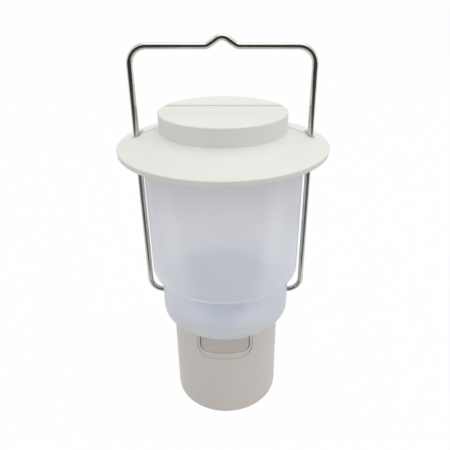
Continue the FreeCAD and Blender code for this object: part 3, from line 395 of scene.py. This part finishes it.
WRAP_PALE = (0.05, 0.17, 0.42)
WRAP_DEEP = (0.03, 0.12, 0.33)
NYLON_PALE = (0.035, 0.035, 0.037)
NYLON_DEEP = (0.022, 0.022, 0.024)
NICKEL_PALE = (0.66, 0.64, 0.60)
NICKEL_DEEP = (0.55, 0.53, 0.50)
FOAM_PALE = (0.06, 0.06, 0.06)
FOAM_DEEP = (0.02, 0.02, 0.02)
FOAM_CELLS = 900.0
FOAM_CELL_DEPTH = 0.0003
LEAD_PALE = (0.42, 0.03, 0.03)
LEAD_DEEP = (0.32, 0.02, 0.02)

cell_wrap = moulded("cell_wrap", WRAP_PALE, WRAP_DEEP, roughness=0.3, grain=400.0)
black_nylon = moulded("black_nylon", NYLON_PALE, NYLON_DEEP, roughness=0.55)
nickel = plated("nickel_strip", NICKEL_PALE, NICKEL_DEEP, roughness=0.3, stretch=(8.0, 1.0, 1.0))
foam = moulded(
    "foam",
    FOAM_PALE,
    FOAM_DEEP,
    roughness=0.9,
    grain=FOAM_CELLS,
    grain_depth=FOAM_CELL_DEPTH,
)
lead_cover = moulded("lead_cover", LEAD_PALE, LEAD_DEEP, roughness=0.4)
dress(cell_wrap, "battery_cells")
dress(black_nylon, "battery_cradle", "tact_switch", "switch_plunger")
dress(nickel, "cell_link", "cell_tabs")
dress(foam, "battery_pad")
dress(lead_cover, "battery_leads", "led_leads")

# Boards: green glass-fibre boards for control and charging, with a plated charging socket.
# Both are screwed to rails on the battery cradle.
# The socket can be seen when the flap at the rear is open.

BOARD_PALE = (0.03, 0.19, 0.08)
BOARD_DEEP = (0.02, 0.12, 0.05)
SOCKET_PALE = (0.70, 0.69, 0.67)
SOCKET_DEEP = (0.58, 0.57, 0.56)

board_green = moulded("board_green", BOARD_PALE, BOARD_DEEP, roughness=0.35, patch=220.0)
socket_plate = plated("socket_plate", SOCKET_PALE, SOCKET_DEEP, roughness=0.22, stretch=(1.0, 8.0, 1.0))
dress(board_green, "control_board", "charge_board")
dress(socket_plate, "charge_socket")

# Base: one warm grey moulded can with a fine satin grain, open below.
# The button sits in a shallow dish at the front and the charging port in a pocket at the rear.
# The port's flap is of the same plastic and turns on a steel pin.

dress(base_grey, "base_housing", "port_flap")

# Button: a curved key, hollowed for the thumb, coloured darker than the base as painted shade from the
# collar above it.
# It is moulded with a flange that holds it behind the wall and a stem that reaches the switch.

# The key's darker grey is painted shade from the collar's overhang.
KEY_PALE = srgb(207, 199, 193)
KEY_DEEP = srgb(202, 194, 188)

key_grey_painted_shade = moulded("key_grey_painted_shade", KEY_PALE, KEY_DEEP, roughness=0.55)
dress(key_grey_painted_shade, "power_button")

# Seals: milky silicone rings. A round one sits in a groove of the base's spigot, inside the collar.
# A flat one is clamped between the upper lip of the shade and the hat.

SILICONE_PALE = (0.78, 0.79, 0.80)
SILICONE_DEEP = (0.72, 0.73, 0.75)

silicone = moulded("silicone", SILICONE_PALE, SILICONE_DEEP, roughness=0.5)
dress(silicone, "collar_seal", "top_seal")

# Light deck: a white moulded spool that is screwed down on the base and clamps the shade.
# It carries a white board of yellow light chips under an opal dish.
# The reflector is of the same white and closes the shade's top.

DECK_PALE = (0.97, 0.98, 1.0)
DECK_DEEP = (0.95, 0.96, 0.98)
OPAL_PALE = (0.86, 0.91, 0.99)
OPAL_DEEP = (0.83, 0.89, 0.98)
LED_BOARD_PALE = (0.80, 0.80, 0.79)
LED_BOARD_DEEP = (0.72, 0.72, 0.71)
PHOSPHOR_PALE = (0.85, 0.72, 0.16)
PHOSPHOR_DEEP = (0.75, 0.60, 0.10)

deck_white = moulded("deck_white", DECK_PALE, DECK_DEEP, roughness=0.5)
opal = moulded("opal", OPAL_PALE, OPAL_DEEP, roughness=0.35)
led_board_white = moulded("led_board_white", LED_BOARD_PALE, LED_BOARD_DEEP, roughness=0.4)
led_phosphor = moulded("led_phosphor", PHOSPHOR_PALE, PHOSPHOR_DEEP, roughness=0.35)
dress(deck_white, "light_deck", "reflector")
dress(opal, "led_cover")
dress(led_board_white, "led_board")
dress(led_phosphor, "leds")

# Shade: frosted translucent plastic with a satin skin, moulded in one with the narrower collar below.
# The frosting is inside and out, so that what is behind it shows only as a soft shape.
# It is milkier at the bottom of the bowl, and its tints go by height, from the bowl to the top, with
# painted light among them.

FROST_LOW = 0.066
FROST_HIGH = 0.178
# Besides the blue tint, these stops paint light: the light band at the shoulder is a painted highlight,
# and the darker top is painted shade under the hat.
FROST_TINTS_AND_PAINTED_LIGHT = (
    (0.0, (0.955, 0.96, 0.965)),
    (0.08, (0.96, 0.965, 0.98)),
    (0.16, (0.925, 0.945, 1.0)),
    (0.23, (0.94, 0.96, 1.0)),
    (0.27, (0.995, 0.998, 1.0)),
    (0.32, (0.985, 0.992, 1.0)),
    (0.5, (0.972, 0.986, 1.0)),
    (0.7, (0.955, 0.95, 0.965)),
    (1.0, (0.785, 0.77, 0.775)),
)
FROST_CLOUDING = (0.975, 0.975, 0.98)
FROST_CLEAR = (1.0, 1.0, 1.0)
FROST_CLOUDS = 18.0
FROST_GRAIN = 2200.0
FROST_GRAIN_DEPTH = 0.00003
FROST_SMOOTH = 0.48
FROST_ROUGH = 0.54
BOWL_START = 0.02
BOWL_END = 0.12
BOWL_ROUGHNESS = 0.3
MILK_WHITE = (0.97, 0.985, 1.0, 1.0)
MILK_END = 0.09
MILK_SHARE = 0.75
MILK_ROUGHNESS = 0.5

frost = Finish(
    "frosted_shade",
    IOR=1.14,
    Transmission_Weight=0.84,
    Sheen_Weight=1.0,
    Sheen_Roughness=0.5,
    Sheen_Tint=(0.88, 0.92, 1.0, 1.0),
    Coat_Weight=1.0,
    Coat_Roughness=0.22,
    Coat_IOR=1.85,
)
frost_cloud = frost.spread(frost.noise(FROST_CLOUDS))
frost_height = frost.span(frost.along("Z"), FROST_LOW, FROST_HIGH)
frost_tint_and_light = frost.node("ShaderNodeValToRGB", {"stops": FROST_TINTS_AND_PAINTED_LIGHT}, {0: frost_height})
frost_shade = frost.between(frost_cloud, FROST_CLOUDING, FROST_CLEAR)
frost_colour = frost.node(
    "ShaderNodeMix",
    {"data_type": "RGBA", "blend_type": "MULTIPLY"},
    {"Factor": 1.0, MIX_FIRST: frost_tint_and_light, MIX_SECOND: frost_shade},
    MIX_COLOUR,
)
frost_rough = frost.span(frost_cloud, 0.0, 1.0, FROST_SMOOTH, FROST_ROUGH)
bowl_rough = frost.span(frost_height, BOWL_START, BOWL_END, BOWL_ROUGHNESS, 0.0)
frost.feed(
    Base_Color=frost_colour,
    Roughness=bowl_rough + frost_rough,
    Normal=frost.bump(frost.noise(FROST_GRAIN), FROST_GRAIN_DEPTH),
)
milk = frost.node(
    "ShaderNodeBsdfPrincipled",
    {},
    {"Base Color": MILK_WHITE, "Roughness": MILK_ROUGHNESS},
)
milk_share = frost.span(frost_height, 0.0, MILK_END, MILK_SHARE, 0.0)
frost.show(frost.node("ShaderNodeMixShader", {}, {0: milk_share, 1: frost.surface, 2: milk}))
dress(frost, "diffuser")

# Hat: a sloping brim and a low cap, both off-white satin mouldings.
# They are screwed together from below, through the reflector.

HAT_PALE = srgb(234, 234, 228)
HAT_DEEP = srgb(229, 229, 223)

hat_white = moulded("hat_white", HAT_PALE, HAT_DEEP, roughness=0.5)
dress(hat_white, "brim", "top_cap")

# Bail: one polished stainless wire, bent cold, its feet sprung into acetal bushes.
# The bushes are pressed into the sides of the collar, and the legs pass through holes in the brim.

ACETAL_PALE = (0.82, 0.83, 0.84)
ACETAL_DEEP = (0.77, 0.78, 0.80)
STEEL_PALE = (0.66, 0.645, 0.61)
STEEL_DEEP = (0.58, 0.565, 0.53)

acetal = moulded("natural_acetal", ACETAL_PALE, ACETAL_DEEP, roughness=0.4)
stainless = plated("stainless_wire", STEEL_PALE, STEEL_DEEP, roughness=0.15, stretch=(1.0, 1.0, 0.05))
dress(acetal, "pivot_bushes")
dress(stainless, "bail_handle")

# Floor and card: a pale floor that keeps a faint shadow and shows as white.
# A dark card lies in front, out of view, so that the polished wire has something dark to show.

FLOOR_HALF = 30.0
FLOOR_LEVEL = -0.0001
FLOOR_WHITE = (0.65, 0.65, 0.65, 1.0)
FLOOR_GLOW_SHARE = 0.985
CARD_HALF_WIDTH = 0.7
CARD_NEAR = -0.13
CARD_FAR = -0.55
CARD_BOTTOM = 0.002
CARD_TOP = 0.7
CARD_GREY_TOP = 0.2
CARD_BLACK = (0.02, 0.017, 0.014)
CARD_GREY = (0.2, 0.2, 0.18)
PAINT_ROUGHNESS = 0.9
WHITE = (1.0, 1.0, 1.0, 1.0)


def stage_sheet(name, half_width, near, far):
    """A four-cornered sheet of the studio between two level edges at (y, z), with its own paint."""
    corners = []
    for x, (y, z) in ((-half_width, near), (half_width, near), (half_width, far), (-half_width, far)):
        corners.append((x, y, z))
    mesh = bpy.data.meshes.new(name)
    mesh.from_pydata(corners, [], [(0, 1, 2, 3)])
    sheet = bpy.data.objects.new(name, mesh)
    bpy.context.scene.collection.objects.link(sheet)
    paint = Finish(name + "_paint", Roughness=PAINT_ROUGHNESS)
    mesh.materials.append(paint.material)
    return sheet, paint


floor_near = (-FLOOR_HALF, FLOOR_LEVEL)
floor_far = (FLOOR_HALF, FLOOR_LEVEL)
floor_paint = stage_sheet("floor", FLOOR_HALF, floor_near, floor_far)[1]
floor_paint.shader.inputs["Base Color"].default_value = FLOOR_WHITE
floor_glow = floor_paint.node("ShaderNodeEmission", {}, {"Color": WHITE, "Strength": 1.0})
glow_share = floor_paint.seen() * FLOOR_GLOW_SHARE
floor_paint.show(
    floor_paint.node("ShaderNodeMixShader", {}, {0: glow_share, 1: floor_paint.surface, 2: floor_glow})
)

card_near = (CARD_NEAR, CARD_BOTTOM)
card_far = (CARD_FAR, CARD_TOP)
card, card_paint = stage_sheet("dark_card", CARD_HALF_WIDTH, card_near, card_far)
card_height = card_paint.span(card_paint.along("Z"), 0.0, CARD_GREY_TOP)
card_paint.feed(Base_Color=card_paint.between(card_height, CARD_GREY, CARD_BLACK))
card.visible_camera = False
card.visible_diffuse = False
card.visible_transmission = False
card.visible_shadow = False

# Light: a white tent all around, which shows as plain white.
# A soft lamp above gives the forms their shading, and a weak one at the right lifts that side.

TENT_STRENGTH = 0.75
LAMP_TARGET = Vector((0, 0, 0.12))
LAMPS = (
    ("top_softbox", (0.1, 0.05, 1.1), 0.9, 3.1),
    ("right_softbox", (0.9, -0.1, 0.2), 0.7, 0.5),
)

world = bpy.data.worlds.new("white_tent")
bpy.context.scene.world = world
tent = Wiring(world)
tent_seen = tent.seen()
tent_strength = tent_seen + (1 - tent_seen) * TENT_STRENGTH
tent_light = tent.node("ShaderNodeBackground", {}, {"Color": WHITE, "Strength": tent_strength})
tent.node("ShaderNodeOutputWorld", {}, {"Surface": tent_light})

for lamp_name, lamp_place, lamp_size, lamp_power in LAMPS:
    lamp_data = bpy.data.lights.new(lamp_name, "AREA")
    lamp_data.shape = "SQUARE"
    lamp_data.size = lamp_size
    lamp_data.energy = lamp_power
    lamp = bpy.data.objects.new(lamp_name, lamp_data)
    lamp.location = lamp_place
    lamp.rotation_euler = (LAMP_TARGET - lamp.location).to_track_quat("-Z", "Y").to_euler()
    bpy.context.scene.collection.objects.link(lamp)

# Camera: the photograph's own view, from the front and above, close to the lantern.
# Its focus and the column of the lantern's axis are in pixels of a square picture.

CAMERA_PLACE = (0.0084, -0.26246, 0.26178)
CAMERA_PITCH = 27.33
CAMERA_FOCUS = 473.53
PICTURE_SIDE = 450
AXIS_COLUMN = 238.2
SENSOR = 36.0
NEAREST_SEEN = 0.01

camera_data = bpy.data.cameras.new("photo_view")
camera_data.sensor_width = SENSOR
camera_data.lens = CAMERA_FOCUS / PICTURE_SIDE * SENSOR
camera_data.shift_x = (PICTURE_SIDE / 2 - AXIS_COLUMN) / PICTURE_SIDE
camera_data.clip_start = NEAREST_SEEN
camera = bpy.data.objects.new("photo_view", camera_data)
camera.location = CAMERA_PLACE
camera.rotation_euler = (math.radians(90 - CAMERA_PITCH), 0, 0)
bpy.context.scene.collection.objects.link(camera)
bpy.context.scene.camera = camera
bpy.context.scene.view_settings.view_transform = "Standard"
